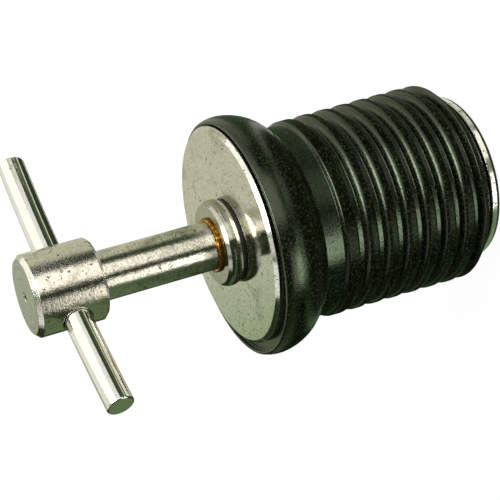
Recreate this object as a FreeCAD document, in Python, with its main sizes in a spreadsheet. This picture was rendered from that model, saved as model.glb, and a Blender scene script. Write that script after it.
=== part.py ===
# T-handle drain plug for a 1 inch drain tube, standing on its rear plate.
# The axis is Z, the handle is at the top, and the origin is the centre of the rear plate's rear face.
# The handle is one turned piece: head, stem and a threaded shank that runs in a long nut at the rear.
# Turning it clockwise pushes ring, collar, seal and front disc towards the rear plate, and the
# rubber between the two plates gets shorter and fatter.
import FreeCAD, Part
import math
import os
import Sketcher

V = FreeCAD.Vector
TOUCH = 0.0001
doc = FreeCAD.newDocument("t_handle_drain_plug")

# Driving sizes in millimetres
SIZES = {
    # Rear plate
    "plate_radius": 10.5,
    "plate_thickness": 1.3,
    "plate_rear_round": 0.9,
    "plate_front_round": 0.15,
    # Barrel nut, staked into the rear plate
    "nut_radius": 4.0,
    "nut_length": 9.9,
    "nut_recess": 0.15,
    "nut_head_flare": 0.7,
    "nut_mouth_chamfer": 0.3,
    "press_gap": 0.03,
    # Threaded shank
    "shank_radius": 2.5,
    "thread_clearance": 0.08,
    "shank_end_height": 4.0,
    "shank_end_chamfer": 0.5,
    # Rubber plug, measured along the axis from the seat of the front disc to the rear plate
    "flange_length": 7.3,
    "first_land_length": 3.6,
    "land_pitch": 2.62,
    "groove_count": 7,
    "last_land_length": 3.18,
    "nose_cone_length": 1.6,
    "nose_inset": 2.55,
    "nose_round_inset": 0.62,
    "land_radius": 12.35,
    "land_growth": 0.3,
    "land_edge_chamfer": 0.3,
    "groove_depth": 0.95,
    "groove_floor_width": 0.75,
    "groove_flare": 0.3,
    "groove_overcut": 0.2,
    "neck_inset": 0.55,
    "neck_step": 0.4,
    "shoulder_drop": 4.6,
    "shoulder_fall": 0.8,
    "bulge_drop": 1.8,
    "bulge_swell": 0.35,
    "lip_width": 0.36,
    "lip_height": 0.55,
    "lip_gap": 0.1,
    "plug_bore_gap": 0.3,
    # Front disc, which sits off the axis by the slack of its hole
    "disc_radius": 13.5,
    "disc_thickness": 1.2,
    "disc_edge_chamfer": 0.12,
    "disc_hole_slack": 0.7,
    "disc_shift_x": 0.45,
    "disc_shift_y": -0.3,
    # Washers and ring between the stem's shoulder and the disc
    "washer_slack": 0.1,
    "seal_radius": 5.05,
    "seal_thickness": 0.3,
    "collar_radius": 5.4,
    "collar_crown": 0.2,
    "collar_thickness": 1.8,
    "collar_bevel": 0.35,
    "ring_radius": 3.6,
    "ring_thickness": 0.4,
    "ring_edge_round": 0.15,
    # Handle
    "stem_radius": 3.0,
    "stem_length": 14.5,
    "head_radius": 4.97,
    "head_length": 8.6,
    "head_front_chamfer": 0.55,
    "head_rear_chamfer": 0.4,
    "centre_mark_radius": 0.65,
    "centre_mark_depth": 0.6,
    # Cross bar, slightly bowed and a little off centre in its hole
    "bar_radius": 1.645,
    "bar_height": 4.0,
    "bar_long_arm": 19.2,
    "bar_short_arm": 17.2,
    "bar_bow_radius": 430.0,
    "bar_end_chamfer": 0.18,
    "bar_hole_gap": 0.05,
    "bar_hole_chamfer": 0.25,
}

sheet = doc.addObject("Spreadsheet::Sheet", "Sizes")
for row, (alias, value) in enumerate(SIZES.items(), start=1):
    sheet.set(f"A{row}", alias)
    sheet.set(f"B{row}", str(value))
    sheet.setAlias(f"B{row}", alias)
doc.recompute()


def size(text):
    """An expression in the sheet's names, with each name given its sheet."""
    for alias in sorted(SIZES, key=len, reverse=True):
        text = text.replace(f"<{alias}>", f"Sizes.{alias}")
    return text


# Heights along the axis, each worked out from the pieces below it
PLATE_TOP = "<plate_thickness>"
FIRST_GROOVE = f"({PLATE_TOP} + <last_land_length> + (<groove_count> - 1) * <land_pitch>)"
NECK = f"({FIRST_GROOVE} + <first_land_length>)"
DISC_SEAT = f"({NECK} + <flange_length>)"
LIP_TOP = f"({DISC_SEAT} + <lip_height>)"
DISC_FRONT = f"({DISC_SEAT} + <disc_thickness>)"
SEAL_FRONT = f"({DISC_FRONT} + <seal_thickness>)"
COLLAR_FRONT = f"({SEAL_FRONT} + <collar_thickness>)"
SHOULDER = f"({COLLAR_FRONT} + <ring_thickness>)"
HEAD_REAR = f"({SHOULDER} + <stem_length>)"
HEAD_FRONT = f"({HEAD_REAR} + <head_length>)"
BAR_AXIS = f"({HEAD_REAR} + <bar_height>)"
NUT_BORE = "(<shank_radius> + <thread_clearance>)"
WASHER_BORE = "(<shank_radius> + <washer_slack>)"


def new_body(label):
    body = doc.addObject("PartDesign::Body", label)
    body.Label = label
    return body


def base_plane(body, role):
    for feature in body.Origin.OriginFeatures:
        if feature.Role == role:
            return feature
    raise ValueError(f"{body.Label} has no {role}")


def new_sketch(body, name, role):
    sketch = body.newObject("Sketcher::SketchObject", name)
    sketch.AttachmentSupport = [(base_plane(body, role), "")]
    sketch.MapMode = "FlatFace"
    doc.recompute()
    return sketch


def bind(sketch, constraint, expression):
    index = sketch.addConstraint(constraint)
    sketch.setExpression(f"Constraints[{index}]", expression)


def pin_point(sketch, geometry, corner, across, up):
    """Hold one end of a line at a distance across and up from the sketch's origin."""
    for kind, axis_line, expression in (("DistanceX", -2, across), ("DistanceY", -1, up)):
        value = float(sketch.evalExpression(expression))
        if value == 0:
            sketch.addConstraint(Sketcher.Constraint("PointOnObject", geometry, corner, axis_line))
        else:
            bind(sketch, Sketcher.Constraint(kind, -1, 1, geometry, corner, value), expression)


def outline(sketch, corners):
    """A closed outline. A corner is (across, up), or (across, up, arc) where the edge that leaves it
    is an arc whose centre is level with one of its ends: arc is (radius, centre height)."""
    points = []
    for corner in corners:
        across, up = size(corner[0]), size(corner[1])
        place = V(float(sketch.evalExpression(across)), float(sketch.evalExpression(up)), 0)
        points.append((across, up, place))
    count = len(corners)
    ends = []
    for index, corner in enumerate(corners):
        start = points[index][2]
        stop = points[(index + 1) % count][2]
        if len(corner) == 2:
            geometry = sketch.addGeometry(Part.LineSegment(start, stop), False)
            ends.append((geometry, 1, 2))
            continue
        radius = float(sketch.evalExpression(size(corner[2][0])))
        height = float(sketch.evalExpression(size(corner[2][1])))
        # The outlines run anticlockwise and their arcs bulge outwards, so the centre is to the left
        reach = math.sqrt(max(radius ** 2 - (start.y - height) ** 2, 0.0))
        centre = V(start.x - reach, height, 0)
        first = math.atan2(start.y - centre.y, start.x - centre.x)
        last = math.atan2(stop.y - centre.y, stop.x - centre.x)
        circle = Part.Circle(centre, V(0, 0, 1), radius)
        geometry = sketch.addGeometry(Part.ArcOfCircle(circle, first, last), False)
        ends.append((geometry, 1, 2))
        bind(sketch, Sketcher.Constraint("Radius", geometry, radius), size(corner[2][0]))
    for index in range(count):
        geometry, _, stop = ends[index]
        following, start, _ = ends[(index + 1) % count]
        sketch.addConstraint(Sketcher.Constraint("Coincident", geometry, stop, following, start))
    for index, (across, up, _) in enumerate(points):
        pin_point(sketch, ends[index][0], 1, across, up)


def turned(label, corners):
    """A body turned about Z from a half section."""
    body = new_body(label)
    sketch = new_sketch(body, f"{label}_section", "XZ_Plane")
    outline(sketch, corners)
    doc.recompute()
    revolution = body.newObject("PartDesign::Revolution", f"{label}_turned")
    revolution.Profile = sketch
    revolution.ReferenceAxis = (sketch, ["V_Axis"])
    revolution.Angle = 360
    doc.recompute()
    return body


def circles(shape, radius, height):
    """The names of the circles of this radius, at this height where one is given."""
    names = []
    for index, edge in enumerate(shape.Edges, start=1):
        if isinstance(edge.Curve, Part.Circle):
            level = edge.Curve.Center.z if height is None else height
            at_height = abs(edge.Curve.Center.z - level) < TOUCH
            if at_height and abs(edge.Curve.Radius - radius) < TOUCH:
                names.append(f"Edge{index}")
    return names


def dress(body, kind, names, value):
    """A fillet or a chamfer on the named edges of the body."""
    shaped = body.Tip
    feature = body.newObject(f"PartDesign::{kind}", f"{body.Label}_{kind.lower()}")
    feature.Base = (shaped, names)
    prop = "Radius" if kind == "Fillet" else "Size"
    feature.setExpression(prop, size(value))
    doc.recompute()
    return feature


def value_of(text):
    return float(sheet.evalExpression(size(text)))


def round_section(sketch, radius):
    """A circle on the cross bar's axis."""
    circle = Part.Circle(V(0, value_of(BAR_AXIS), 0), V(0, 0, 1), value_of(radius))
    geometry = sketch.addGeometry(circle, False)
    sketch.addConstraint(Sketcher.Constraint("PointOnObject", geometry, 3, -2))
    height = Sketcher.Constraint("DistanceY", -1, 1, geometry, 3, value_of(BAR_AXIS))
    bind(sketch, height, size(BAR_AXIS))
    bind(sketch, Sketcher.Constraint("Radius", geometry, circle.Radius), size(radius))


# Rear plate: a turned steel disc with a rounded rim, countersunk for the nut's staked head
plate_hole = "(<nut_radius> + <press_gap>)"
rear_plate = turned("rear_plate", [
    (f"{plate_hole} + <nut_head_flare>", "0"),
    ("<plate_radius> - <plate_rear_round>", "0",
     ("<plate_rear_round>", "<plate_rear_round>")),
    ("<plate_radius>", "<plate_rear_round>"),
    ("<plate_radius>", f"{PLATE_TOP} - <plate_front_round>"),
    ("<plate_radius> - <plate_front_round>", PLATE_TOP),
    (plate_hole, PLATE_TOP),
    (plate_hole, "<nut_recess> + <nut_head_flare>"),
    (f"{plate_hole} + <nut_head_flare>", "<nut_recess>"),
])

# Barrel nut: a long round nut whose rear end is staked outwards into the plate's countersink
barrel_nut = turned("barrel_nut", [
    (f"{NUT_BORE} + <nut_mouth_chamfer>", "<nut_recess>"),
    ("<nut_radius> + <nut_head_flare>", "<nut_recess>"),
    ("<nut_radius>", "<nut_recess> + <nut_head_flare>"),
    ("<nut_radius>", "<nut_length> - <nut_mouth_chamfer>"),
    ("<nut_radius> - <nut_mouth_chamfer>", "<nut_length>"),
    (f"{NUT_BORE} + <nut_mouth_chamfer>", "<nut_length>"),
    (NUT_BORE, "<nut_length> - <nut_mouth_chamfer>"),
    (NUT_BORE, "<nut_recess> + <nut_mouth_chamfer>"),
])

# Rubber plug: moulded body with a flange, a neck and lands that grow a little towards the rear
pocket_radius = "(<nut_radius> + <plug_bore_gap>)"
bore_radius = "(<shank_radius> + <plug_bore_gap>)"
disc_shift = "sqrt(<disc_shift_x> ^ 2 + <disc_shift_y> ^ 2)"
seat_radius = f"(<disc_radius> + {disc_shift} + <lip_gap>)"
lip_radius = f"({seat_radius} + <lip_width>)"
bulge_radius = f"({lip_radius} + <bulge_swell>)"
shoulder_radius = f"({bulge_radius} - <shoulder_fall>)"
bulge_height = f"({LIP_TOP} - <bulge_drop>)"
front_curve = "((<bulge_drop> ^ 2 + <bulge_swell> ^ 2) / (2 * <bulge_swell>))"
back_run = "(<shoulder_drop> - <bulge_drop>)"
back_curve = f"(({back_run} ^ 2 + <shoulder_fall> ^ 2) / (2 * <shoulder_fall>))"
rear_radius = "(<land_radius> + <land_growth>)"
nose_top = f"({PLATE_TOP} + <nose_cone_length>)"
nose_run = "(<last_land_length> - <nose_cone_length>)"
nose_curve = f"(({nose_run} ^ 2 + <nose_round_inset> ^ 2) / (2 * <nose_round_inset>))"
rubber_plug = turned("rubber_plug", [
    (pocket_radius, PLATE_TOP),
    (f"{rear_radius} - <nose_inset>", PLATE_TOP),
    (f"{rear_radius} - <nose_round_inset>", nose_top, (nose_curve, f"{PLATE_TOP} + <last_land_length>")),
    (rear_radius, f"{PLATE_TOP} + <last_land_length>"),
    ("<land_radius>", f"{NECK} - <neck_step>"),
    ("<land_radius> - <neck_inset>", NECK),
    (shoulder_radius, f"{LIP_TOP} - <shoulder_drop>", (back_curve, bulge_height)),
    (bulge_radius, bulge_height, (front_curve, bulge_height)),
    (lip_radius, LIP_TOP),
    (seat_radius, LIP_TOP),
    (seat_radius, DISC_SEAT),
    (bore_radius, DISC_SEAT),
    (bore_radius, "<nut_length> + <plug_bore_gap>"),
    (pocket_radius, "<nut_length> + <plug_bore_gap>"),
])

# The grooves between the lands: one flared groove, repeated along the axis
groove_floor = "(<land_radius> - <groove_depth>)"
groove_mouth = f"({rear_radius} + <groove_overcut>)"
floor_half = "(<groove_floor_width> / 2)"
mouth_half = f"({floor_half} + <groove_flare> * ({groove_mouth} - {groove_floor}))"
groove_sketch = new_sketch(rubber_plug, "groove_section", "XZ_Plane")
outline(groove_sketch, [
    (groove_floor, f"{FIRST_GROOVE} - {floor_half}"),
    (groove_mouth, f"{FIRST_GROOVE} - {mouth_half}"),
    (groove_mouth, f"{FIRST_GROOVE} + {mouth_half}"),
    (groove_floor, f"{FIRST_GROOVE} + {floor_half}"),
])
doc.recompute()
before_grooves = rubber_plug.Shape.Volume
groove = rubber_plug.newObject("PartDesign::Groove", "rubber_groove")
groove.Profile = groove_sketch
groove.ReferenceAxis = (groove_sketch, ["V_Axis"])
groove.Angle = 360
doc.recompute()
if rubber_plug.Shape.Volume >= before_grooves:
    raise ValueError("the first groove cut nothing")
grooves = rubber_plug.newObject("PartDesign::LinearPattern", "rubber_grooves")
grooves.Originals = [groove]
grooves.Direction = (base_plane(rubber_plug, "Z_Axis"), [""])
grooves.Reversed = True
grooves.setExpression("Length", size("(<groove_count> - 1) * <land_pitch>"))
grooves.setExpression("Occurrences", size("<groove_count>"))
rubber_plug.Tip = grooves
doc.recompute()

# The edges of the lands are broken
land_edges = []
for index, edge in enumerate(rubber_plug.Shape.Edges, start=1):
    if isinstance(edge.Curve, Part.Circle):
        on_lands = edge.Curve.Radius > value_of("<land_radius> - <groove_depth> / 2")
        height = edge.Curve.Center.z
        if on_lands and value_of(nose_top) + TOUCH < height < value_of(NECK):
            land_edges.append(f"Edge{index}")
dress(rubber_plug, "Chamfer", land_edges, "<land_edge_chamfer>")

# Front disc: flat, polished, and shifted by the slack of its hole
front_disc = turned("front_disc", [
    ("<shank_radius> + <disc_hole_slack>", DISC_SEAT),
    ("<disc_radius> - <disc_edge_chamfer>", DISC_SEAT),
    ("<disc_radius>", f"{DISC_SEAT} + <disc_edge_chamfer>"),
    ("<disc_radius>", f"{DISC_FRONT} - <disc_edge_chamfer>"),
    ("<disc_radius> - <disc_edge_chamfer>", DISC_FRONT),
    ("<shank_radius> + <disc_hole_slack>", DISC_FRONT),
])
front_disc.setExpression("Placement.Base.x", size("<disc_shift_x>"))
front_disc.setExpression("Placement.Base.y", size("<disc_shift_y>"))

# Seal washer: thin black washer under the collar
seal_washer = turned("seal_washer", [
    (WASHER_BORE, DISC_FRONT),
    ("<seal_radius>", DISC_FRONT),
    ("<seal_radius>", SEAL_FRONT),
    (WASHER_BORE, SEAL_FRONT),
])

# Thrust collar: thick washer with a bevelled front edge and a crowned rim
rim_radius = "(<collar_radius> - <collar_crown>)"
rim_middle = f"(({SEAL_FRONT} + {COLLAR_FRONT} - <collar_bevel>) / 2)"
rim_half = "((<collar_thickness> - <collar_bevel>) / 2)"
rim_curve = f"(({rim_half} ^ 2 + <collar_crown> ^ 2) / (2 * <collar_crown>))"
thrust_collar = turned("thrust_collar", [
    (WASHER_BORE, SEAL_FRONT),
    (rim_radius, SEAL_FRONT, (rim_curve, rim_middle)),
    (rim_radius, f"{COLLAR_FRONT} - <collar_bevel>"),
    (f"{rim_radius} - <collar_bevel>", COLLAR_FRONT),
    (WASHER_BORE, COLLAR_FRONT),
])

# Brass ring: thin ring under the stem's shoulder
brass_ring = turned("brass_ring", [
    (WASHER_BORE, COLLAR_FRONT),
    ("<ring_radius>", COLLAR_FRONT),
    ("<ring_radius>", SHOULDER),
    (WASHER_BORE, SHOULDER),
])
ring_edges = circles(brass_ring.Shape, value_of("<ring_radius>"), value_of(SHOULDER))
dress(brass_ring, "Fillet", ring_edges, "<ring_edge_round>")

# Handle: head, stem and shank in one piece, with a centre mark in the head's face
handle = turned("handle", [
    ("0", "<shank_end_height>"),
    ("<shank_radius> - <shank_end_chamfer>", "<shank_end_height>"),
    ("<shank_radius>", "<shank_end_height> + <shank_end_chamfer>"),
    ("<shank_radius>", SHOULDER),
    ("<stem_radius>", SHOULDER),
    ("<stem_radius>", HEAD_REAR),
    ("<head_radius> - <head_rear_chamfer>", HEAD_REAR),
    ("<head_radius>", f"{HEAD_REAR} + <head_rear_chamfer>"),
    ("<head_radius>", f"{HEAD_FRONT} - <head_front_chamfer>"),
    ("<head_radius> - <head_front_chamfer>", HEAD_FRONT),
    ("<centre_mark_radius>", HEAD_FRONT),
    ("0", f"{HEAD_FRONT} - <centre_mark_depth>"),
])

# The hole for the cross bar, drilled right through the head along X
hole_sketch = new_sketch(handle, "bar_hole_section", "YZ_Plane")
round_section(hole_sketch, "<bar_radius> + <bar_hole_gap>")
doc.recompute()
before_hole = handle.Shape.Volume
hole = handle.newObject("PartDesign::Pocket", "bar_hole")
hole.Profile = hole_sketch
hole.Midplane = True
hole.Type = "ThroughAll"
doc.recompute()
hole_radius = value_of("<bar_radius> + <bar_hole_gap>")
shortest_wall = 2 * math.sqrt(value_of("<head_radius>") ** 2 - hole_radius ** 2)
if before_hole - handle.Shape.Volume < math.pi * hole_radius ** 2 * shortest_wall:
    raise ValueError("the cross hole doesn't go right through the head")

# The hole's two mouths are broken with a small chamfer
mouths = []
for index, edge in enumerate(handle.Shape.Edges, start=1):
    box = edge.BoundBox
    around_hole = abs(box.Center.z - value_of(BAR_AXIS)) < TOUCH and box.ZLength > hole_radius
    if around_hole and not isinstance(edge.Curve, Part.Line):
        mouths.append(f"Edge{index}")
dress(handle, "Chamfer", mouths, "<bar_hole_chamfer>")

# Cross bar: round rod with a slight bow, its tips nearer to the plug than its middle
cross_bar = new_body("cross_bar")
bar_sketch = new_sketch(cross_bar, "bar_section", "YZ_Plane")
round_section(bar_sketch, "<bar_radius>")
bow_depth = f"(<bar_bow_radius> - {BAR_AXIS})"
half_axis = value_of("<bar_radius>")
axis_start = V(-half_axis, -value_of(bow_depth), 0)
axis_end = V(half_axis, -value_of(bow_depth), 0)
axis = bar_sketch.addGeometry(Part.LineSegment(axis_start, axis_end), True)
bar_sketch.addConstraint(Sketcher.Constraint("Symmetric", axis, 1, axis, 2, -2))
bind(bar_sketch, Sketcher.Constraint("Distance", axis, 1, axis, 2, 2 * half_axis),
     size("2 * <bar_radius>"))
bind(bar_sketch, Sketcher.Constraint("DistanceY", axis, 1, -1, 1, value_of(bow_depth)),
     size(bow_depth))
doc.recompute()
bar = cross_bar.newObject("PartDesign::Revolution", "bar_turned")
bar.Profile = bar_sketch
bar.ReferenceAxis = (bar_sketch, ["Axis0"])
bar.Type = "TwoAngles"
bar.setExpression("Angle", size("<bar_long_arm> / <bar_bow_radius> * 180 / pi"))
bar.setExpression("Angle2", size("<bar_short_arm> / <bar_bow_radius> * 180 / pi"))
doc.recompute()
bar_ends = circles(cross_bar.Shape, value_of("<bar_radius>"), None)
dress(cross_bar, "Chamfer", bar_ends, "<bar_end_chamfer>")

# Every feature has to hold, and every piece has to be one valid solid
doc.recompute()
for item in doc.Objects:
    if "Invalid" in item.State or "Error" in item.State:
        raise ValueError(f"{item.Label} is {item.State}")

PIECES = [rear_plate, barrel_nut, rubber_plug, front_disc, seal_washer,
          thrust_collar, brass_ring, handle, cross_bar]
os.makedirs("parts", exist_ok=True)
for piece in PIECES:
    shape = piece.Shape
    if shape.isNull() or not shape.isValid() or len(shape.Solids) != 1:
        raise ValueError(f"{piece.Label} isn't one valid solid")
    shape.exportStep(f"parts/{piece.Label}.step")
    box = shape.optimalBoundingBox(True, False)
    print(f"{piece.Label:14s} volume {shape.Volume:9.1f}  x {box.XMin:7.2f} {box.XMax:7.2f}"
          f"  y {box.YMin:7.2f} {box.YMax:7.2f}  z {box.ZMin:7.2f} {box.ZMax:7.2f}")
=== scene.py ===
import math

import bpy
from mathutils import Matrix, Vector


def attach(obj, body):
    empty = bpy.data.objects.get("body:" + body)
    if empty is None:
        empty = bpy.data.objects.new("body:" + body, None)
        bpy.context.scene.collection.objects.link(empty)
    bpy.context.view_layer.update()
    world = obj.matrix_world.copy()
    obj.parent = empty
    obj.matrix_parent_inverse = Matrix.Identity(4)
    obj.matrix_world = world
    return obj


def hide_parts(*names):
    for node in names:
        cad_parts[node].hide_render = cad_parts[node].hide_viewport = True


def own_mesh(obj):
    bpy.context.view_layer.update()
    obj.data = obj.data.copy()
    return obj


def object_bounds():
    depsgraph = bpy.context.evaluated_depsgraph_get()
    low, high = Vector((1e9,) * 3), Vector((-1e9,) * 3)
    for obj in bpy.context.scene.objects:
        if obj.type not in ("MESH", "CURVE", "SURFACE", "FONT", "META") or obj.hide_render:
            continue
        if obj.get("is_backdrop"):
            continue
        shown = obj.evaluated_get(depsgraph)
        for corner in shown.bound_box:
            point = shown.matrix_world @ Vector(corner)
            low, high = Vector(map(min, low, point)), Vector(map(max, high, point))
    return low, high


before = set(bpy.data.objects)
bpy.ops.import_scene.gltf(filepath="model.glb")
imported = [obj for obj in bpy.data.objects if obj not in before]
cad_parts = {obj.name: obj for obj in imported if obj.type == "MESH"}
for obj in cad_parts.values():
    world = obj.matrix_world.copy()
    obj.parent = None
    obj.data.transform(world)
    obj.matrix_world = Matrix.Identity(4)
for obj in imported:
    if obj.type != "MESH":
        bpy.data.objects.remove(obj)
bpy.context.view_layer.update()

# Rear plate
# A turned steel disc under the rubber, zinc bright at its rounded rim. It stands on its flat rear
# face, and the nut's flared end is pressed flush into the countersink in its middle.
MM = 0.001
FLOWING = 9  # a rounding in mm that takes all the room between two corners
PLATE_RADIUS, PLATE_THICKNESS = 10.5, 1.3
PLATE_HOLE, NUT_FLARE, NUT_RECESS = 4.03, 0.7, 0.15
COLUMNS = 192
ARC_STEP = math.radians(9)


def soften(corners, closed=True):
    """A half section in mm, anticlockwise, as (radius, height, rounding). Each corner becomes an
    arc. Gives rows of (radius, height, outward normal across, outward normal up)."""
    rows = []
    count = len(corners)
    for index, (radius, height, rounding) in enumerate(corners):
        here = Vector((radius, height))
        into = here - Vector(corners[index - 1][:2])
        away = Vector(corners[(index + 1) % count][:2]) - here
        if not closed and index == 0:
            into = away
        if not closed and index == count - 1:
            away = into
        room = 0.49 * min(into.length, away.length)
        into, away = into.normalized(), away.normalized()
        turn = math.atan2(into.x * away.y - into.y * away.x, into.dot(away))
        side = Vector((into.y, -into.x))
        if abs(turn) < 1e-4:
            rows.append((radius, height, side.x, side.y))
            continue
        slope = abs(math.tan(turn / 2))
        back = min(rounding * slope, room)
        bend = back / slope * (1 if turn > 0 else -1)
        centre = here - into * back - side * bend
        steps = max(2, math.ceil(abs(turn) / ARC_STEP))
        for step in range(steps + 1):
            angle = turn * step / steps
            normal = Vector((side.x * math.cos(angle) - side.y * math.sin(angle),
                             side.x * math.sin(angle) + side.y * math.cos(angle)))
            point = centre + normal * bend
            rows.append((max(point.x, 0.0), point.y, normal.x, normal.y))
    return rows


def mesh_object(name, points, normals, faces):
    """A smooth mesh, in metres, from points in mm and one exact normal for each."""
    mesh = bpy.data.meshes.new(name)
    mesh.from_pydata([[c * MM for c in p] for p in points], [], faces)
    mesh.polygons.foreach_set("use_smooth", [True] * len(mesh.polygons))
    mesh.normals_split_custom_set_from_vertices([Vector(n).normalized() for n in normals])
    mesh.validate()
    piece = bpy.data.objects.new(name, mesh)
    bpy.context.scene.collection.objects.link(piece)
    return piece


def turned(name, rows, closed=True, centre=(0.0, 0.0), columns=COLUMNS, place=None):
    """A turned piece from a softened half section. place moves each point and its normal."""
    points, normals, faces = [], [], []
    count = len(rows)
    for column in range(columns):
        angle = 2 * math.pi * column / columns
        across, along = math.cos(angle), math.sin(angle)
        for radius, height, out, up in rows:
            point = (centre[0] + radius * across, centre[1] + radius * along, height)
            normal = (out * across, out * along, up)
            if place:
                point, normal = place(point, normal)
            points.append(point)
            normals.append(normal)
    for column in range(columns):
        here, there = column * count, (column + 1) % columns * count
        for row in range(count if closed else count - 1):
            following = (row + 1) % count
            faces.append((here + row, there + row, there + following, here + following))
    return mesh_object(name, points, normals, faces)


def linear(code):
    """An sRGB hex colour as linear RGBA."""
    parts = [int(code[i:i + 2], 16) / 255 for i in (1, 3, 5)]
    return [c / 12.92 if c <= 0.04045 else ((c + 0.055) / 1.055) ** 2.4 for c in parts] + [1.0]


def add_node(tree, kind, settings=None, **inputs):
    """One node with its settings and inputs. An input is a value, or another node's output."""
    node = tree.nodes.new(kind)
    for key, value in (settings or {}).items():
        setattr(node, key, value)
    for key, value in inputs.items():
        name = key.replace("_", " ")
        socket = node.inputs[int(key[1:])] if key[1:].isdigit() else node.inputs[name]
        if isinstance(value, bpy.types.NodeSocket):
            tree.links.new(value, socket)
        else:
            socket.default_value = value
    return node


def new_material(name):
    """A material with one Principled shader, and the object's own coordinates in mm."""
    material = bpy.data.materials.new(name)
    material.use_nodes = True
    tree = material.node_tree
    tree.nodes.clear()
    shader = add_node(tree, "ShaderNodeBsdfPrincipled")
    add_node(tree, "ShaderNodeOutputMaterial", Surface=shader.outputs["BSDF"])
    place = add_node(tree, "ShaderNodeTexCoord")
    in_mm = add_node(tree, "ShaderNodeVectorMath", {"operation": "SCALE"},
                     Vector=place.outputs["Object"], Scale=1 / MM)
    return material, tree, shader, in_mm.outputs["Vector"]


def polished_metal(name, colour, tarnish, pit, roughness, turning, ripple, tarnished, pitted):
    """Bright metal that was turned, polished and handled: warm tarnish in patches, dark pits, fine
    lines round its axis, and the slight ripple of a polishing wheel. turning and ripple are
    heights in mm, tarnished and pitted are shares of the surface."""
    material, tree, shader, mm = new_material(name)
    along = add_node(tree, "ShaderNodeSeparateXYZ", Vector=mm)
    radius = add_node(tree, "ShaderNodeVectorMath", {"operation": "LENGTH"}, Vector=add_node(
        tree, "ShaderNodeVectorMath", {"operation": "MULTIPLY"}, _0=mm, _1=(1, 1, 0)).outputs[0])
    # Lines run round the axis, on faces and on sides alike. At 0.07 mm apart they are coarser than
    # the real ones, and so is the grain of 0.26 mm, so that both can be seen
    lines_at = add_node(tree, "ShaderNodeCombineXYZ", X=radius.outputs["Value"],
                        Y=along.outputs["Z"], Z=0.0)
    lines = add_node(tree, "ShaderNodeTexNoise", Vector=lines_at.outputs[0], Scale=1 / 0.14,
                     Detail=2.0, Roughness=0.7)
    ripples = add_node(tree, "ShaderNodeTexNoise", Vector=mm, Scale=1 / 1.9, Detail=2.0,
                       Roughness=0.55)
    grain = add_node(tree, "ShaderNodeTexNoise", Vector=mm, Scale=1 / 0.26, Detail=3.0,
                     Roughness=0.85)
    patches = add_node(tree, "ShaderNodeTexNoise", Vector=mm, Scale=1 / 3.4, Detail=4.0,
                       Roughness=0.62, Distortion=0.6)
    patch_share = add_node(tree, "ShaderNodeMapRange", {"clamp": True}, Value=patches.outputs[0],
                           From_Min=0.62 - 0.5 * tarnished, From_Max=0.86 - 0.5 * tarnished,
                           To_Min=0.0, To_Max=0.75)
    speck = add_node(tree, "ShaderNodeTexNoise", Vector=mm, Scale=1 / 0.55, Detail=2.5,
                     Roughness=0.8, Distortion=0.4)
    speck_share = add_node(tree, "ShaderNodeMapRange", {"clamp": True}, Value=speck.outputs[0],
                           From_Min=0.70 - 0.5 * pitted, From_Max=0.76 - 0.5 * pitted,
                           To_Min=0.0, To_Max=0.85)
    grain_share = add_node(tree, "ShaderNodeMapRange", Value=grain.outputs[0], From_Min=0.3,
                           From_Max=0.7, To_Min=0.0, To_Max=0.6)
    warm = add_node(tree, "ShaderNodeMix", {"data_type": "RGBA"}, _0=patch_share.outputs[0],
                    _6=linear(colour), _7=linear(tarnish))
    dull = add_node(tree, "ShaderNodeMix", {"data_type": "RGBA"}, _0=grain_share.outputs[0],
                    _6=warm.outputs[2], _7=linear(tarnish))
    spotted = add_node(tree, "ShaderNodeMix", {"data_type": "RGBA"}, _0=speck_share.outputs[0],
                       _6=dull.outputs[2], _7=linear(pit))
    rougher = add_node(tree, "ShaderNodeMath", {"operation": "MULTIPLY_ADD"},
                       _0=speck_share.outputs[0], _1=0.35, _2=roughness)
    worn = add_node(tree, "ShaderNodeMath", {"operation": "MULTIPLY_ADD"},
                    _0=patch_share.outputs[0], _1=0.12, _2=rougher.outputs[0])
    wavy = add_node(tree, "ShaderNodeBump", Strength=1.0, Distance=ripple * MM,
                    Height=ripples.outputs[0])
    grainy = add_node(tree, "ShaderNodeBump", Strength=1.0, Distance=turning * MM * 2.2,
                      Height=grain.outputs[0], Normal=wavy.outputs[0])
    scored = add_node(tree, "ShaderNodeBump", Strength=1.0, Distance=turning * MM,
                      Height=lines.outputs[0], Normal=grainy.outputs[0])
    tree.links.new(spotted.outputs[2], shader.inputs["Base Color"])
    tree.links.new(worn.outputs[0], shader.inputs["Roughness"])
    tree.links.new(scored.outputs[0], shader.inputs["Normal"])
    shader.inputs["Metallic"].default_value = 1.0
    return material


def fit(piece, material, body, slot, *nodes):
    """Gives a piece its material and its body, and hides the CAD nodes that it stands for. slot is
    not used.
    """
    piece.data.materials.append(material)
    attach(piece, body)
    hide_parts(*nodes)


# Bright zinc over a soft polish: the rim shows sharp white lights, with dark flecks in them
plate_steel = polished_metal("bright_zinc_steel", "#E8E8E2", "#A5A48C", "#33332A",
                             roughness=0.16, turning=0.0012, ripple=0.03,
                             tarnished=0.05, pitted=0.22)
plate_hole_flared = PLATE_HOLE + NUT_FLARE
rear_plate = turned("rear_plate_turned", soften([
    (plate_hole_flared, 0.0, 0.04),
    (PLATE_RADIUS, 0.0, 0.9),
    (PLATE_RADIUS, PLATE_THICKNESS, 0.15),
    (PLATE_HOLE, PLATE_THICKNESS, 0.05),
    (PLATE_HOLE, NUT_RECESS + NUT_FLARE, 0.1),
    (plate_hole_flared, NUT_RECESS, 0.03),
]))
fit(rear_plate, plate_steel, "base", "plate_steel", "rear_plate")

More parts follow.
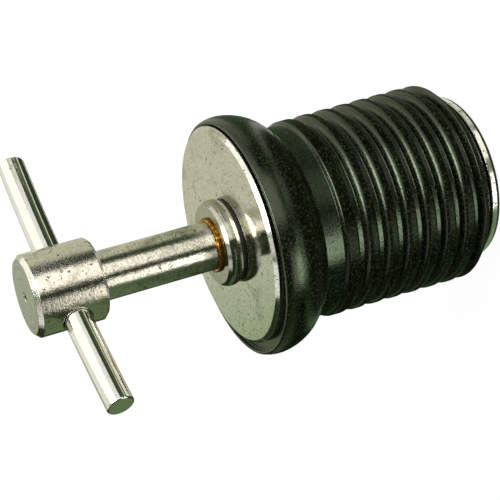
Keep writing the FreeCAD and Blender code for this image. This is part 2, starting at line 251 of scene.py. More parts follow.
# Barrel nut
# A long round steel nut with an M5 by 0.8 mm thread, pushed through the plate from behind and
# staked. Only its flared end and the first turns of its thread show, from below.
NUT_RADIUS, NUT_LENGTH, NUT_CHAMFER = 4.0, 9.9, 0.25
PITCH, THREAD_DEPTH, THREAD_GAP = 0.8, 0.46, 0.08
FLANK_STEEPNESS, ROOT_SHARE = 2.5, 0.125
SHANK_RADIUS = 2.5
THREAD_ROWS = 10


def thread_radius(angle, height):
    """The radius of a right-hand M5 thread: a flat crest, 60 degree flanks and a rounded root."""
    phase = (height / PITCH - angle / (2 * math.pi)) % 1.0
    rise = min(1.0, max(0.0, abs(phase - 0.5) * FLANK_STEEPNESS - ROOT_SHARE))
    return SHANK_RADIUS - THREAD_DEPTH * (1.0 - rise * rise * (3 - 2 * rise))


def threaded_rows(low, high):
    """Heights along a thread, ten to each turn."""
    count = round((high - low) / PITCH * THREAD_ROWS)
    return [low + (high - low) * k / count for k in range(count + 1)]


# Plain zinc, duller than the plate, so the thread shows soft grey lights in the dark of the bore
nut_steel = polished_metal("zinc_plated_nut_steel", "#C9C6BA", "#A39C84", "#46443A",
                           roughness=0.24, turning=0.0012, ripple=0.01,
                           tarnished=0.1, pitted=0.03)
nut_outside = soften([
    (SHANK_RADIUS + THREAD_GAP + NUT_CHAMFER, NUT_RECESS, 0.05),
    (NUT_RADIUS + NUT_FLARE, NUT_RECESS, 0.06),
    (NUT_RADIUS, NUT_RECESS + NUT_FLARE, 0.1),
    (NUT_RADIUS, NUT_LENGTH, 0.3),
    (SHANK_RADIUS + THREAD_GAP + NUT_CHAMFER, NUT_LENGTH, 0.05),
], closed=False)
nut_bore = threaded_rows(NUT_LENGTH - NUT_CHAMFER, NUT_RECESS + NUT_CHAMFER)


def thread_normal(angle, height, inward):
    """The normal of the threaded surface, from its own slopes."""
    nudge = 0.01
    radius = thread_radius(angle, height)
    round_it = (thread_radius(angle + nudge, height) - radius) / nudge / radius
    along_it = (thread_radius(angle, height + nudge) - radius) / nudge
    side = -1 if inward else 1
    out = (math.cos(angle), math.sin(angle))
    turn = (-out[1], out[0])
    return (side * (out[0] - turn[0] * round_it), side * (out[1] - turn[1] * round_it),
            -side * along_it)


def threaded(name, plain, heights, gap, inward, columns=COLUMNS):
    """A turned piece whose plain section runs on into a threaded stretch, which closes on the
    first row again. inward is set where the thread faces the axis."""
    points, normals, faces = [], [], []
    count = len(plain) + len(heights)
    for column in range(columns):
        angle = 2 * math.pi * column / columns
        across, along = math.cos(angle), math.sin(angle)
        for radius, height, out, up in plain:
            points.append((radius * across, radius * along, height))
            normals.append((out * across, out * along, up))
        for height in heights:
            radius = thread_radius(angle, height) + gap
            points.append((radius * across, radius * along, height))
            normals.append(thread_normal(angle, height, inward))
    for column in range(columns):
        here, there = column * count, (column + 1) % columns * count
        for row in range(count):
            following = (row + 1) % count
            faces.append((here + row, there + row, there + following, here + following))
    return mesh_object(name, points, normals, faces)


barrel_nut = threaded("barrel_nut_threaded", nut_outside, nut_bore, THREAD_GAP, inward=True)
fit(barrel_nut, nut_steel, "base", "nut_steel", "barrel_nut")

# Rubber plug
# One moulding of black nitrile rubber: a flange that the front disc sits in, a hollow taper to the
# neck, and eight lands that grip the drain tube.
FLANGE_FRONT, LIP_HEIGHT = 31.1, 0.55
LIP_TOP = FLANGE_FRONT + LIP_HEIGHT
SEAT_RADIUS = 14.14
LAND_FRONT, LAND_REAR = 12.35, 12.65
FIRST_LAND_END = 22.3
FIRST_GROOVE, LAND_PITCH, GROOVES = 20.2, 2.62, 7
GROOVE_FLOOR, FLOOR_REACH, MOUTH_TO_REAR, MOUTH_TO_FRONT = 11.6, 0.34, 0.9, 0.64
REAR_EDGE_ROUND, FRONT_EDGE_ROUND = 0.32, 0.75
SHANK_BORE, NUT_POCKET, POCKET_END = 2.8, 4.3, 10.2


def land_radius(height):
    """The lands grow a little towards the rear."""
    share = (FIRST_LAND_END - height) / (FIRST_LAND_END - PLATE_THICKNESS)
    return LAND_FRONT + (LAND_REAR - LAND_FRONT) * share


# From the rear: the tapered nose, the lands and their grooves, then the neck and the flange
rubber_section = [
    (NUT_POCKET, PLATE_THICKNESS, 0.1),
    (LAND_REAR - 2.55, PLATE_THICKNESS, 0.3),
    (LAND_REAR - 0.95, PLATE_THICKNESS + 1.25, FLOWING),
    (LAND_REAR - 0.2, PLATE_THICKNESS + 2.1, FLOWING),
]
for groove in reversed(range(GROOVES)):
    middle = FIRST_GROOVE - groove * LAND_PITCH
    low, high = middle - MOUTH_TO_REAR, middle + MOUTH_TO_FRONT
    rubber_section += [
        (land_radius(low), low, FRONT_EDGE_ROUND),
        (GROOVE_FLOOR, middle - FLOOR_REACH, 0.16),
        (GROOVE_FLOOR, middle + FLOOR_REACH, 0.16),
        (land_radius(high), high, REAR_EDGE_ROUND),
    ]
rubber_section += [
    (LAND_FRONT, FIRST_LAND_END, 0.3),
    (11.9, FIRST_LAND_END + 0.35, 0.12),
    (12.05, 25.1, 0.35),
    (13.3, 26.1, FLOWING),
    (14.05, 27.1, FLOWING),
    (14.62, 28.5, FLOWING),
    (14.85, 29.85, FLOWING),
    (14.76, 30.9, FLOWING),
    (14.5, LIP_TOP, 0.3),
    (SEAT_RADIUS, LIP_TOP, 0.12),
    (SEAT_RADIUS, FLANGE_FRONT, 0.1),
    (SHANK_BORE, FLANGE_FRONT, 0.1),
    (SHANK_BORE, POCKET_END, 0.1),
    (NUT_POCKET, POCKET_END, 0.1),
]
rubber_plug = turned("rubber_plug_moulded", soften(rubber_section), columns=256)

plug_rubber, tree, shader, mm = new_material("moulded_black_nitrile_rubber")
# Moulded rubber has a fine skin with a soft shine and specks of green-grey dust, so its lights are
# narrow, dim and a little green between deep black. The skin, 0.24 mm, and the dust, 0.3 mm, are
# drawn coarser than real ones
skin = add_node(tree, "ShaderNodeTexNoise", Vector=mm, Scale=1 / 0.24, Detail=2.0, Roughness=0.8)
bloom = add_node(tree, "ShaderNodeTexNoise", Vector=mm, Scale=1 / 2.6, Detail=5.0, Roughness=0.7)
dust = add_node(tree, "ShaderNodeTexNoise", Vector=mm, Scale=1 / 0.3, Detail=2.0, Roughness=0.8)
bloom_share = add_node(tree, "ShaderNodeMapRange", {"clamp": True}, Value=bloom.outputs[0],
                       From_Min=0.42, From_Max=0.72, To_Min=0.0, To_Max=1.0)
dust_share = add_node(tree, "ShaderNodeMapRange", {"clamp": True}, Value=dust.outputs[0],
                      From_Min=0.54, From_Max=0.64, To_Min=0.0, To_Max=1.0)
black = add_node(tree, "ShaderNodeMix", {"data_type": "RGBA"}, _0=bloom_share.outputs[0],
                 _6=linear("#030402"), _7=linear("#0A1106"))
dusty = add_node(tree, "ShaderNodeMix", {"data_type": "RGBA"}, _0=dust_share.outputs[0],
                 _6=black.outputs[2], _7=linear("#3E4D29"))
shine = add_node(tree, "ShaderNodeMapRange", {"clamp": True}, Value=skin.outputs[0],
                 From_Min=0.3, From_Max=0.7, To_Min=0.12, To_Max=0.28)
uneven = add_node(tree, "ShaderNodeBump", Strength=1.0, Distance=0.03 * MM,
                  Height=bloom.outputs[0])
skinned = add_node(tree, "ShaderNodeBump", Strength=1.0, Distance=0.022 * MM,
                   Height=skin.outputs[0], Normal=uneven.outputs[0])
# The tops of the lands are scuffed dull by the tube, while the grooves keep the mould's gloss
along_plug = add_node(tree, "ShaderNodeSeparateXYZ", Vector=mm)
off_axis = add_node(tree, "ShaderNodeVectorMath", {"operation": "LENGTH"}, Vector=add_node(
    tree, "ShaderNodeVectorMath", {"operation": "MULTIPLY"}, _0=mm, _1=(1, 1, 0)).outputs[0])
land_slope = (LAND_REAR - LAND_FRONT) / (FIRST_LAND_END - PLATE_THICKNESS)
past_land = add_node(tree, "ShaderNodeMath", {"operation": "MULTIPLY_ADD"},
                     _0=along_plug.outputs["Z"], _1=land_slope, _2=off_axis.outputs["Value"])
land_zero = LAND_REAR + land_slope * PLATE_THICKNESS
on_top = add_node(tree, "ShaderNodeMapRange", {"clamp": True}, Value=past_land.outputs[0],
                  From_Min=land_zero - 0.07, From_Max=land_zero - 0.01, To_Min=0.0, To_Max=1.0)
behind_neck = add_node(tree, "ShaderNodeMapRange", {"clamp": True},
                       Value=along_plug.outputs["Z"], From_Min=FIRST_LAND_END - 0.1,
                       From_Max=FIRST_LAND_END + 0.1, To_Min=1.0, To_Max=0.0)
scuffed = add_node(tree, "ShaderNodeMath", {"operation": "MULTIPLY"}, _0=on_top.outputs[0],
                   _1=behind_neck.outputs[0])
dulled = add_node(tree, "ShaderNodeMath", {"operation": "MULTIPLY_ADD", "use_clamp": True},
                  _0=dust_share.outputs[0], _1=0.75, _2=scuffed.outputs[0])
gloss = add_node(tree, "ShaderNodeMapRange", Value=dulled.outputs[0], From_Min=0.0,
                 From_Max=1.0, To_Min=0.64, To_Max=0.1)
rough = add_node(tree, "ShaderNodeMath", {"operation": "MULTIPLY_ADD"}, _0=scuffed.outputs[0],
                 _1=0.1, _2=shine.outputs[0])
tree.links.new(dusty.outputs[2], shader.inputs["Base Color"])
tree.links.new(rough.outputs[0], shader.inputs["Roughness"])
tree.links.new(gloss.outputs[0], shader.inputs["Specular IOR Level"])
tree.links.new(skinned.outputs[0], shader.inputs["Normal"])
shader.inputs["Specular Tint"].default_value = (0.84, 1.0, 0.76, 1.0)
shader.inputs["IOR"].default_value = 1.52
fit(rubber_plug, plug_rubber, "base", "plug_rubber", "rubber_plug")
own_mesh(rubber_plug)

# Front disc
# A flat steel disc with a small bevel round its front, that spreads the collar's push over the
# rubber. Its hole is wider than the shank, and it sits half a millimetre off the middle.
DISC_RADIUS, DISC_THICKNESS, DISC_BEVEL = 13.5, 1.2, 0.42
DISC_HOLE, DISC_SHIFT = 3.2, (0.45, -0.3)
DISC_FRONT = FLANGE_FRONT + DISC_THICKNESS
# Polished like a mirror: the collar stands in it as a sharp image, and the bevel as a white line
disc_steel = polished_metal("mirror_polished_steel", "#EEECE4", "#73765C", "#3A3C2A",
                            roughness=0.09, turning=0.0012, ripple=0.006,
                            tarnished=0.1, pitted=0.2)
front_disc = turned("front_disc_polished", soften([
    (DISC_HOLE, FLANGE_FRONT, 0.1),
    (DISC_RADIUS, FLANGE_FRONT, 0.12),
    (DISC_RADIUS, DISC_FRONT - DISC_BEVEL, 0.1),
    (DISC_RADIUS - DISC_BEVEL, DISC_FRONT, 0.1),
    (DISC_HOLE, DISC_FRONT, 0.1),
]), centre=DISC_SHIFT)
fit(front_disc, disc_steel, "clamp", "disc_steel", "front_disc")

# Seal washer
# A thin washer of soft black rubber, punched from sheet and squeezed between collar and disc.
SEAL_RADIUS, SEAL_THICKNESS, WASHER_BORE = 5.05, 0.3, 2.6
SEAL_FRONT = DISC_FRONT + SEAL_THICKNESS
seal_washer = turned("seal_washer_punched", soften([
    (WASHER_BORE, DISC_FRONT, 0.05),
    (SEAL_RADIUS, DISC_FRONT, 0.08),
    (SEAL_RADIUS, SEAL_FRONT, 0.08),
    (WASHER_BORE, SEAL_FRONT, 0.05),
]))
seal_rubber, tree, shader, mm = new_material("black_rubber_painted_gap_shade")
# Matt black rubber; its black also stands as painted shade for the shaded gap between the collar
# and the disc
cut = add_node(tree, "ShaderNodeTexNoise", Vector=mm, Scale=1 / 0.2, Detail=3.0, Roughness=0.7)
# Painted shade: these near-black tones also stand for the shade in the gap
gap_shade_tone = add_node(tree, "ShaderNodeMix", {"data_type": "RGBA"}, _0=cut.outputs[0],
                     _6=linear("#0B0D0A"), _7=linear("#1B1F17"))
cut_bump = add_node(tree, "ShaderNodeBump", Strength=1.0, Distance=0.01 * MM,
                    Height=cut.outputs[0])
tree.links.new(gap_shade_tone.outputs[2], shader.inputs["Base Color"])
tree.links.new(cut_bump.outputs[0], shader.inputs["Normal"])
shader.inputs["Roughness"].default_value = 0.6
fit(seal_washer, seal_rubber, "clamp", "seal_rubber", "seal_washer")

# Thrust collar
# A thick turned steel washer with a bevelled front edge and a slightly crowned rim. It takes the
# stem's push.
COLLAR_RADIUS, COLLAR_THICKNESS, COLLAR_BEVEL, COLLAR_CROWN = 5.4, 1.8, 0.35, 0.2
CROWN_REACH, CROWN_FALL = 0.3, 0.04
COLLAR_FRONT = SEAL_FRONT + COLLAR_THICKNESS
collar_edge = COLLAR_RADIUS - COLLAR_CROWN
bevel_start = COLLAR_FRONT - COLLAR_BEVEL
rim_middle = (SEAL_FRONT + bevel_start) / 2
# Turned but not buffed: duller than the disc, with lights that are drawn out round its rim
collar_steel = polished_metal("turned_collar_steel", "#B6B6AA", "#7E806A", "#30311F",
                              roughness=0.13, turning=0.003, ripple=0.02,
                              tarnished=0.25, pitted=0.12)
thrust_collar = turned("thrust_collar_turned", soften([
    (WASHER_BORE, SEAL_FRONT, 0.05),
    (collar_edge, SEAL_FRONT, 0.1),
    (COLLAR_RADIUS - CROWN_FALL, rim_middle - CROWN_REACH, FLOWING),
    (COLLAR_RADIUS - CROWN_FALL, rim_middle + CROWN_REACH, FLOWING),
    (collar_edge, bevel_start, 0.08),
    (collar_edge - COLLAR_BEVEL, COLLAR_FRONT, 0.08),
    (WASHER_BORE, COLLAR_FRONT, 0.05),
]))
fit(thrust_collar, collar_steel, "clamp", "collar_steel", "thrust_collar")

# Brass ring
# A thin brass ring under the stem's shoulder, so that the turning steel doesn't gall the collar.
RING_RADIUS, RING_THICKNESS = 3.38, 0.4
SHOULDER = COLLAR_FRONT + RING_THICKNESS
# Rubbed and tarnished brass: a thin warm line that breaks into brown
brass = polished_metal("rubbed_brass", "#DDA53C", "#8F6226", "#22160A",
                       roughness=0.18, turning=0.004, ripple=0.03, tarnished=0.35, pitted=0.45)
brass_ring = turned("brass_ring_turned", soften([
    (WASHER_BORE, COLLAR_FRONT, 0.05),
    (RING_RADIUS, COLLAR_FRONT, 0.1),
    (RING_RADIUS, SHOULDER, 0.14),
    (WASHER_BORE, SHOULDER, 0.05),
]))
fit(brass_ring, brass, "clamp", "brass", "brass_ring")

# Handle
# Head, stem and threaded shank turned in one piece from a steel bar and nickel-plated bright. The
# head is cross-drilled for the bar, and its face keeps the lathe's centre mark.
STEM_RADIUS, HEAD_RADIUS = 3.0, 4.97
HEAD_REAR, HEAD_FRONT = 49.3, 57.9
HEAD_BACK_BEVEL, HEAD_FACE_BEVEL = 0.4, 0.55
BAR_HEIGHT, BAR_RADIUS, HOLE_GAP, MOUTH_ROUND = 53.3, 1.645, 0.05, 0.24
SHANK_END, THREAD_END = 4.0, 16.0
CENTRE_MARK_RADIUS, CENTRE_MARK_DEPTH = 0.65, 0.6
HEAD_COLUMNS, WINDOW, WINDOW_ROWS, WINDOW_RINGS, MOUTH_STEPS = 144, 16, 24, 12, 6
WINDOW_EASE = 1.6
side_low, side_high = HEAD_REAR + HEAD_BACK_BEVEL, HEAD_FRONT - HEAD_FACE_BEVEL

shank_tip = soften([
    (0.0, SHANK_END, 0.0),
    (SHANK_RADIUS - 0.5, SHANK_END, 0.06),
    (SHANK_RADIUS - THREAD_DEPTH + 0.06, SHANK_END + 0.45, 0.05),
], closed=False)
shank_to_head = soften([
    (SHANK_RADIUS, THREAD_END + 0.3, 0.1),
    (SHANK_RADIUS, SHOULDER, 0.1),
    (STEM_RADIUS, SHOULDER, 0.12),
    (STEM_RADIUS, HEAD_REAR, 0.12),
    (HEAD_RADIUS - HEAD_BACK_BEVEL, HEAD_REAR, 0.06),
    (HEAD_RADIUS, side_low, 0.06),
    (HEAD_RADIUS, side_high, 0.06),
], closed=False)[:-1]
head_face = soften([
    (HEAD_RADIUS, side_low + 1.0, 0.06),
    (HEAD_RADIUS, side_high, 0.06),
    (HEAD_RADIUS - HEAD_FACE_BEVEL, HEAD_FRONT, 0.06),
    (CENTRE_MARK_RADIUS, HEAD_FRONT, 0.05),
    (0.0, HEAD_FRONT - CENTRE_MARK_DEPTH, 0.0),
], closed=False)[1:]
window_low, window_high = shank_to_head[-1][1], head_face[0][1]

points, normals, faces = [], [], []
thread_heights = threaded_rows(SHANK_END + 0.6, THREAD_END)
column_rows = len(shank_tip) + len(thread_heights) + len(shank_to_head)
count = column_rows + WINDOW_ROWS - 1 + len(head_face)
side_rows = [(HEAD_RADIUS, window_low + (window_high - window_low) * k / WINDOW_ROWS, 1, 0)
             for k in range(1, WINDOW_ROWS)]
for column in range(HEAD_COLUMNS):
    angle = 2 * math.pi * column / HEAD_COLUMNS
    across, along = math.cos(angle), math.sin(angle)
    for radius, height, out, up in shank_tip:
        points.append((radius * across, radius * along, height))
        normals.append((out * across, out * along, up))
    for height in thread_heights:
        radius = thread_radius(angle, height)
        points.append((radius * across, radius * along, height))
        normals.append(thread_normal(angle, height, inward=False))
    for radius, height, out, up in shank_to_head + side_rows + head_face:
        points.append((radius * across, radius * along, height))
        normals.append((out * across, out * along, up))

# Where the bar's hole comes out, the side is left open as a window, one on each side of the head
window_start = column_rows - 1
window_stop = window_start + WINDOW_ROWS
for column in range(HEAD_COLUMNS):
    here, there = column * count, (column + 1) % HEAD_COLUMNS * count
    from_front = (column + WINDOW) % HEAD_COLUMNS
    in_window = from_front < 2 * WINDOW or 0 <= from_front - HEAD_COLUMNS // 2 < 2 * WINDOW
    for row in range(count - 1):
        if in_window and window_start <= row < window_stop:
            continue
        faces.append((here + row, there + row, there + row + 1, here + row + 1))

hole_radius = BAR_RADIUS + HOLE_GAP
outer_radius = hole_radius + MOUTH_ROUND


def window_edge(side):
    """The vertices round one drilled window, as (column offset, row)."""
    edge = [(offset, window_start) for offset in range(-WINDOW, WINDOW)]
    edge += [(WINDOW, row) for row in range(window_start, window_stop)]
    edge += [(offset, window_stop) for offset in range(WINDOW, -WINDOW, -1)]
    edge += [(-WINDOW, row) for row in range(window_stop, window_start, -1)]
    found = []
    for offset, row in edge:
        column = offset if side > 0 else HEAD_COLUMNS // 2 - offset
        found.append(column % HEAD_COLUMNS * count + row)
    return found


# Rings of vertices lead from each window's edge to the hole's rounded mouth, and the hole joins
# the two mouths
mouths = {}
for side in (1, -1):
    edge = window_edge(side)
    rings = [edge]
    spokes = []
    for vertex in edge:
        x, y, z = points[vertex]
        spokes.append((math.atan2(y, x * side), z, math.atan2(z - BAR_HEIGHT, y)))
    for ring in range(1, WINDOW_RINGS + 1):
        share = 1 - (1 - ring / WINDOW_RINGS) ** WINDOW_EASE
        made = []
        for turn, height, spoke in spokes:
            mouth_y = outer_radius * math.cos(spoke)
            mouth_turn = math.asin(mouth_y / HEAD_RADIUS)
            mouth_z = BAR_HEIGHT + outer_radius * math.sin(spoke)
            new_turn = turn + (mouth_turn - turn) * share
            new_z = height + (mouth_z - height) * share
            made.append(len(points))
            points.append((side * HEAD_RADIUS * math.cos(new_turn),
                           HEAD_RADIUS * math.sin(new_turn), new_z))
            normals.append((side * math.cos(new_turn), math.sin(new_turn), 0.0))
        rings.append(made)
    for step in range(1, MOUTH_STEPS + 1):
        lean = math.radians(90 * step / MOUTH_STEPS)
        made = []
        for turn, height, spoke in spokes:
            reach = hole_radius + MOUTH_ROUND * (1 - math.sin(lean))
            y, up = reach * math.cos(spoke), reach * math.sin(spoke)
            on_side = math.sqrt(HEAD_RADIUS ** 2 - y * y)
            depth = MOUTH_ROUND * (1 - math.cos(lean))
            made.append(len(points))
            points.append((side * (on_side - depth), y, BAR_HEIGHT + up))
            normals.append((side * math.cos(lean) * on_side / HEAD_RADIUS,
                            math.cos(lean) * y / HEAD_RADIUS - math.sin(lean) * math.cos(spoke),
                            -math.sin(lean) * math.sin(spoke)))
        rings.append(made)
    for outer, inner in zip(rings[:-1], rings[1:]):
        for k in range(len(edge)):
            following = (k + 1) % len(edge)
            quad = (outer[k], outer[following], inner[following], inner[k])
            faces.append(quad if side > 0 else quad[::-1])
    mouths[side] = rings[-1]
for k in range(len(mouths[1])):
    following = (k + 1) % len(mouths[1])
    faces.append((mouths[1][k], mouths[1][following], mouths[-1][following], mouths[-1][k]))
handle = mesh_object("handle_turned", points, normals, faces)

# Worn bright plating: deep black and white bands that run along it, broken up by grain
handle_steel = polished_metal("worn_nickel_plate", "#EEEAE0", "#76725F", "#2E2C20",
                              roughness=0.08, turning=0.009, ripple=0.03,
                              tarnished=0.22, pitted=0.18)
# The head's face is dull from the facing tool, so it reads as a plain grey-green round with faint
# rings, and its centre mark is painted dark, as painted shade in its recess
tree = handle_steel.node_tree
shader = tree.nodes["Principled BSDF"]
in_metres = add_node(tree, "ShaderNodeTexCoord").outputs["Object"]
along_handle = add_node(tree, "ShaderNodeSeparateXYZ", Vector=in_metres)
off_axis = add_node(tree, "ShaderNodeVectorMath", {"operation": "LENGTH"}, Vector=add_node(
    tree, "ShaderNodeVectorMath", {"operation": "MULTIPLY"}, _0=in_metres,
    _1=(1, 1, 0)).outputs[0])
on_face = add_node(tree, "ShaderNodeMapRange", {"clamp": True}, Value=along_handle.outputs["Z"],
                   From_Min=(HEAD_FRONT - 0.09) * MM, From_Max=(HEAD_FRONT - 0.03) * MM,
                   To_Min=0.0, To_Max=0.94)
in_mark = add_node(tree, "ShaderNodeMapRange", {"clamp": True}, Value=along_handle.outputs["Z"],
                   From_Min=(HEAD_FRONT - 0.09) * MM, From_Max=(HEAD_FRONT - 0.14) * MM,
                   To_Min=0.0, To_Max=0.95)
near_mark = add_node(tree, "ShaderNodeMapRange", {"clamp": True},
                     Value=off_axis.outputs["Value"], From_Min=(CENTRE_MARK_RADIUS + 0.1) * MM,
                     From_Max=CENTRE_MARK_RADIUS * MM, To_Min=0.0, To_Max=1.0)
# Painted shade: the centre mark's recess is coloured near black
centre_mark_shade = add_node(tree, "ShaderNodeMath", {"operation": "MULTIPLY"}, _0=in_mark.outputs[0],
                _1=near_mark.outputs[0])
ring_at = add_node(tree, "ShaderNodeCombineXYZ", X=off_axis.outputs["Value"], Y=0.0, Z=0.0)
tool_rings = add_node(tree, "ShaderNodeTexNoise", Vector=ring_at.outputs[0],
                      Scale=1 / (0.35 * MM), Detail=3.0, Roughness=0.8)
ring_share = add_node(tree, "ShaderNodeMapRange", {"clamp": True}, Value=tool_rings.outputs[0],
                      From_Min=0.4, From_Max=0.62, To_Min=0.0, To_Max=1.0)
ring_shade = add_node(tree, "ShaderNodeMix", {"data_type": "RGBA"}, _0=ring_share.outputs[0],
                      _6=linear("#59664F"), _7=linear("#A3AF99"))
faced = add_node(tree, "ShaderNodeMix", {"data_type": "RGBA"}, _0=on_face.outputs[0],
                 _6=shader.inputs["Base Color"].links[0].from_socket, _7=ring_shade.outputs[2])
mark_shaded = add_node(tree, "ShaderNodeMix", {"data_type": "RGBA"}, _0=centre_mark_shade.outputs[0],
                 _6=faced.outputs[2], _7=linear("#1C1C16"))
tree.links.new(mark_shaded.outputs[2], shader.inputs["Base Color"])
fit(handle, handle_steel, "handle", "handle_steel", "handle")

# Cross bar
# A plain round rod of drawn steel, nickel-plated, pushed through the head as the grip for turning.
# It is bent a little towards the plug and stands 1 mm off centre. Its ends are cut and broken.
LONG_ARM, SHORT_ARM, BOW_RADIUS, BOW_STEPS = 19.2, 17.2, 430.0, 40
bow_span = LONG_ARM + SHORT_ARM - 2
rod_rows = soften([
    (0.0, -SHORT_ARM, 0.0),
    (BAR_RADIUS, -SHORT_ARM, 0.22),
    *[(BAR_RADIUS, -SHORT_ARM + 1 + k * bow_span / BOW_STEPS, 0.1) for k in range(BOW_STEPS + 1)],
    (BAR_RADIUS, LONG_ARM, 0.22),
    (0.0, LONG_ARM, 0.0),
], closed=False)


def bend_rod(point, normal):
    """Lays the rod along X and bows it, its ends nearer to the plug."""
    angle = point[2] / BOW_RADIUS
    reach = BOW_RADIUS + point[1]
    cos, sin = math.cos(angle), math.sin(angle)
    placed = (reach * sin, point[0], BAR_HEIGHT - BOW_RADIUS + reach * cos)
    facing = (normal[1] * sin + normal[2] * cos, normal[0], normal[1] * cos - normal[2] * sin)
    return placed, facing


cross_bar = turned("cross_bar_drawn", rod_rows, closed=False, columns=96, place=bend_rod)
# A smooth drawn rod with few marks: long clean lights run along it
bar_steel = polished_metal("drawn_nickel_rod", "#E8E8E0", "#BDB9A2", "#54503E",
                           roughness=0.11, turning=0.0004, ripple=0.02,
                           tarnished=0.06, pitted=0.04)
fit(cross_bar, bar_steel, "handle", "bar_steel", "cross_bar")

# Studio
# The plug stands on a white floor in soft white light. Cards round it, seen only in reflections,
# are the white and dark boards that give polished metal its edges.
floor_mesh = bpy.data.meshes.new("floor")
FLOOR_HALF = 4.0
floor_mesh.from_pydata([(-FLOOR_HALF, -FLOOR_HALF, 0), (FLOOR_HALF, -FLOOR_HALF, 0),
                        (FLOOR_HALF, FLOOR_HALF, 0), (-FLOOR_HALF, FLOOR_HALF, 0)],
                       [], [(0, 1, 2, 3)])
floor = bpy.data.objects.new("floor", floor_mesh)
bpy.context.scene.collection.objects.link(floor)
floor.visible_glossy = False
floor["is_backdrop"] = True
# Matt white that takes the plug's soft shade, mixed with a glow for the camera and reflections,
# so that it meets the white background without an edge
floor_white = bpy.data.materials.new("matt_white_floor")
floor_white.use_nodes = True
tree = floor_white.node_tree
tree.nodes.clear()
matt = add_node(tree, "ShaderNodeBsdfDiffuse", Color=linear("#F4F4F2"))
bright = add_node(tree, "ShaderNodeEmission", Color=(1, 1, 1, 1), Strength=1.16)
ray = add_node(tree, "ShaderNodeLightPath")
seen = add_node(tree, "ShaderNodeMath", {"operation": "MAXIMUM"},
                _0=ray.outputs["Is Camera Ray"], _1=ray.outputs["Is Glossy Ray"])
seen_share = add_node(tree, "ShaderNodeMath", {"operation": "MULTIPLY"}, _0=seen.outputs[0],
                      _1=0.82)
floor_mix = add_node(tree, "ShaderNodeMixShader", _0=seen_share.outputs[0],
                     _1=matt.outputs[0], _2=bright.outputs[0])
add_node(tree, "ShaderNodeOutputMaterial", Surface=floor_mix.outputs[0])
floor_mesh.materials.append(floor_white)

CARD_DISTANCE, CARD_FOOT, CEILING = 150.0, -90.0, 440.0
OVERHEAD_DISTANCE, OVERHEAD_BASE = 160.0, 53.0


def card(name, start, stop, foot, top, colour):
    """A curved board round the plug between two bearings in degrees, seen only in reflections."""
    steps = max(1, round(abs(stop - start) / 6))
    corners, quads = [], []
    for step in range(steps + 1):
        bearing = math.radians(start + (stop - start) * step / steps)
        x = CARD_DISTANCE * math.cos(bearing) * MM
        y = CARD_DISTANCE * math.sin(bearing) * MM
        corners += [(x, y, foot * MM), (x, y, top * MM)]
        if step < steps:
            quads.append((2 * step, 2 * step + 1, 2 * step + 3, 2 * step + 2))
    show_card(name, corners, quads, colour)


def show_card(name, corners, quads, colour):
    """A board that glows in one colour and is seen by glossy rays only."""
    board = bpy.data.meshes.new(name)
    board.from_pydata(corners, [], quads)
    paint = bpy.data.materials.new(name + "_paint")
    paint.use_nodes = True
    paint.node_tree.nodes.clear()
    glow = add_node(paint.node_tree, "ShaderNodeEmission", Color=(*colour, 1.0), Strength=1.0)
    add_node(paint.node_tree, "ShaderNodeOutputMaterial", Surface=glow.outputs[0])
    board.materials.append(paint)
    made = bpy.data.objects.new(name, board)
    bpy.context.scene.collection.objects.link(made)
    made.visible_camera = False
    made.visible_diffuse = False
    made.visible_shadow = False
    made.visible_transmission = False
    made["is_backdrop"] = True


# Name, two bearings, foot and top in mm, colour. Heights below 0 lie under the floor, which
# reflections don't show. The lowest cards are the ones that the rear plate shows, the next ones
# are the rubber's, and the metal shows those above
FOOT_CARDS = -68
RUBBER_CARDS = -10
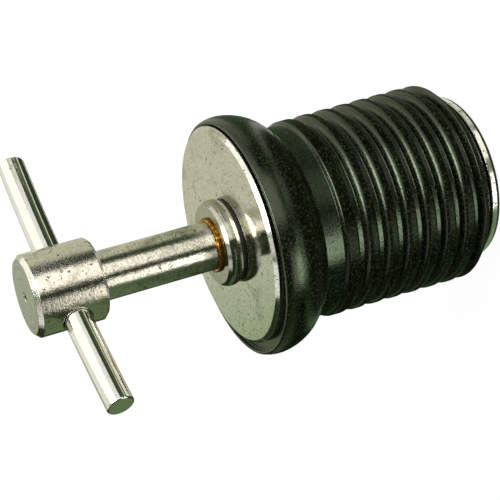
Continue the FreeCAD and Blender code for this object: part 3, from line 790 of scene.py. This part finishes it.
CARDS = (
    ("foot_white", -180, -132, CARD_FOOT, FOOT_CARDS, (2.4, 2.5, 2.3)),
    ("foot_gap", -132, -112, CARD_FOOT, FOOT_CARDS, (0.42, 0.45, 0.36)),
    ("foot_key", -112, -72, CARD_FOOT, FOOT_CARDS, (1.9, 1.85, 1.75)),
    ("foot_streak", -72, -60, CARD_FOOT, FOOT_CARDS, (0.5, 0.53, 0.46)),
    ("foot_mid", -60, 62, CARD_FOOT, FOOT_CARDS, (1.0, 1.03, 0.92)),
    ("foot_green", 62, 180, CARD_FOOT, FOOT_CARDS, (0.22, 0.36, 0.20)),
    ("low_white", -180, -150, FOOT_CARDS, -22, (4.8, 5.4, 4.4)),
    ("low_white_above", -180, -150, -22, RUBBER_CARDS, (1.7, 1.62, 1.48)),
    ("low_gap", -150, -118, FOOT_CARDS, RUBBER_CARDS, (0.03, 0.045, 0.02)),
    ("low_key", -118, -68, FOOT_CARDS, RUBBER_CARDS, (0.2, 0.27, 0.16)),
    ("low_streak", -68, -44, FOOT_CARDS, RUBBER_CARDS, (0.07, 0.11, 0.05)),
    ("low_mid", -44, 66, FOOT_CARDS, RUBBER_CARDS, (0.12, 0.18, 0.09)),
    ("low_dark", 66, 180, FOOT_CARDS, RUBBER_CARDS, (0.012, 0.02, 0.008)),
    ("card_key", -122, -78, RUBBER_CARDS, 130, (1.75, 1.68, 1.56)),
    ("card_gap", -148, -122, RUBBER_CARDS, 160, (0.04, 0.05, 0.03)),
    ("card_fill_low", -180, -148, RUBBER_CARDS, 12, (1.9, 1.8, 1.66)),
    ("card_fill", -180, -148, 12, 22, (0.80, 0.82, 0.72)),
    ("card_fill_above", -180, -148, 22, 160, (0.05, 0.07, 0.04)),
    ("card_edge", 66, 90, RUBBER_CARDS, 45, (0.03, 0.045, 0.03)),
    ("card_olive", 90, 180, RUBBER_CARDS, 45, (0.14, 0.205, 0.105)),
    ("card_high_key", -134, -62, 134, 440, (9.0, 9.0, 8.4)),
    ("card_high_dark", -180, -134, 162, 300, (0.05, 0.07, 0.04)),
    ("card_dark_above", 71, 180, 45, 170, (0.03, 0.045, 0.02)),
    ("card_olive_above", 65, 71, 45, 170, (0.40, 0.48, 0.29)),
    ("card_streak", -78, -44, RUBBER_CARDS, 35, (0.045, 0.06, 0.035)),
    ("card_mid", -46, 58, RUBBER_CARDS, 112, (0.66, 0.67, 0.52)),
    ("card_mid_edge", 58, 66, RUBBER_CARDS, 45, (0.5, 0.52, 0.4)),
)
for name, start, stop, foot, top, colour in CARDS:
    card(name, start, stop, foot, top, colour)
for step, level in enumerate((0.94, 0.88, 0.83, 0.78, 0.74, 0.70, 0.66)):
    card(f"card_mid_above_{step}", 58 + step, 59 + step, 45, 170,
         (0.66 * level, 0.67 * level ** 0.6, 0.52 * level))
half = CARD_DISTANCE * MM
for name, height, colour in (("card_below", CARD_FOOT, (0.04, 0.05, 0.03)),
                             ("card_ceiling", CEILING, (0.3, 0.32, 0.27))):
    corners = [(x, y, height * MM) for x, y in ((-half, -half), (half, -half), (half, half),
                                                (-half, half))]
    show_card(name, corners, [(0, 1, 2, 3)], colour)

# One more card leans over the bar, between two bearings and two heights as it is seen from there
overhead = []
for bearing, lift in ((-64, 17), (14, 17), (14, 66), (-64, 66)):
    flat = math.cos(math.radians(lift)) * OVERHEAD_DISTANCE
    overhead.append((flat * math.cos(math.radians(bearing)) * MM,
                     flat * math.sin(math.radians(bearing)) * MM,
                     (OVERHEAD_BASE + OVERHEAD_DISTANCE * math.sin(math.radians(lift))) * MM))
show_card("card_overhead", overhead, [(0, 1, 2, 3)], (1.5, 1.48, 1.4))

# Soft light from above on the camera's side, and white all round
key = bpy.data.lights.new("soft_key", "AREA")
key.shape = "DISK"
key.size = 0.5
key.energy = 3.0
key_object = bpy.data.objects.new("soft_key", key)
bpy.context.scene.collection.objects.link(key_object)
key_object.location = (0.15, -0.35, 0.75)
key_object.rotation_mode = "QUATERNION"
key_object.rotation_quaternion = key_object.location.to_track_quat("Z", "Y")
key_object.visible_glossy = False

world = bpy.data.worlds.new("white_studio")
bpy.context.scene.world = world
world.use_nodes = True
tree = world.node_tree
tree.nodes.clear()
ray = add_node(tree, "ShaderNodeLightPath")
direct = add_node(tree, "ShaderNodeMath", {"operation": "MAXIMUM"},
                  _0=ray.outputs["Is Camera Ray"], _1=ray.outputs["Is Glossy Ray"])
shown = add_node(tree, "ShaderNodeMath", {"operation": "MAXIMUM"}, _0=direct.outputs[0],
                 _1=ray.outputs["Is Transmission Ray"])
level = add_node(tree, "ShaderNodeMapRange", Value=shown.outputs[0], From_Min=0.0, From_Max=1.0,
                 To_Min=0.3, To_Max=1.0)
white = add_node(tree, "ShaderNodeBackground", Color=(1, 1, 1, 1), Strength=level.outputs[0])
add_node(tree, "ShaderNodeOutputWorld", Surface=white.outputs[0])

# Camera
# It looks down past the handle, rolled so that the plug's axis lies across the picture.
LENS, CAMERA_AT = 107.14, (-92.711, -140.737, 93.785)
RIGHT, UP, AHEAD = ((-0.416769, -0.137486, -0.898555), (0.755405, -0.602231, -0.258227),
                    (0.505635, 0.786394, -0.354849))
lens = bpy.data.cameras.new("camera")
lens.lens = LENS
lens.sensor_width = 36.0
lens.clip_start, lens.clip_end = 0.01, 20.0
camera = bpy.data.objects.new("camera", lens)
bpy.context.scene.collection.objects.link(camera)
camera.matrix_world = Matrix([
    (RIGHT[0], UP[0], -AHEAD[0], CAMERA_AT[0] * MM),
    (RIGHT[1], UP[1], -AHEAD[1], CAMERA_AT[1] * MM),
    (RIGHT[2], UP[2], -AHEAD[2], CAMERA_AT[2] * MM),
    (0, 0, 0, 1),
])
bpy.context.scene.camera = camera
bpy.context.scene.view_settings.view_transform = "Standard"

low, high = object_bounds()
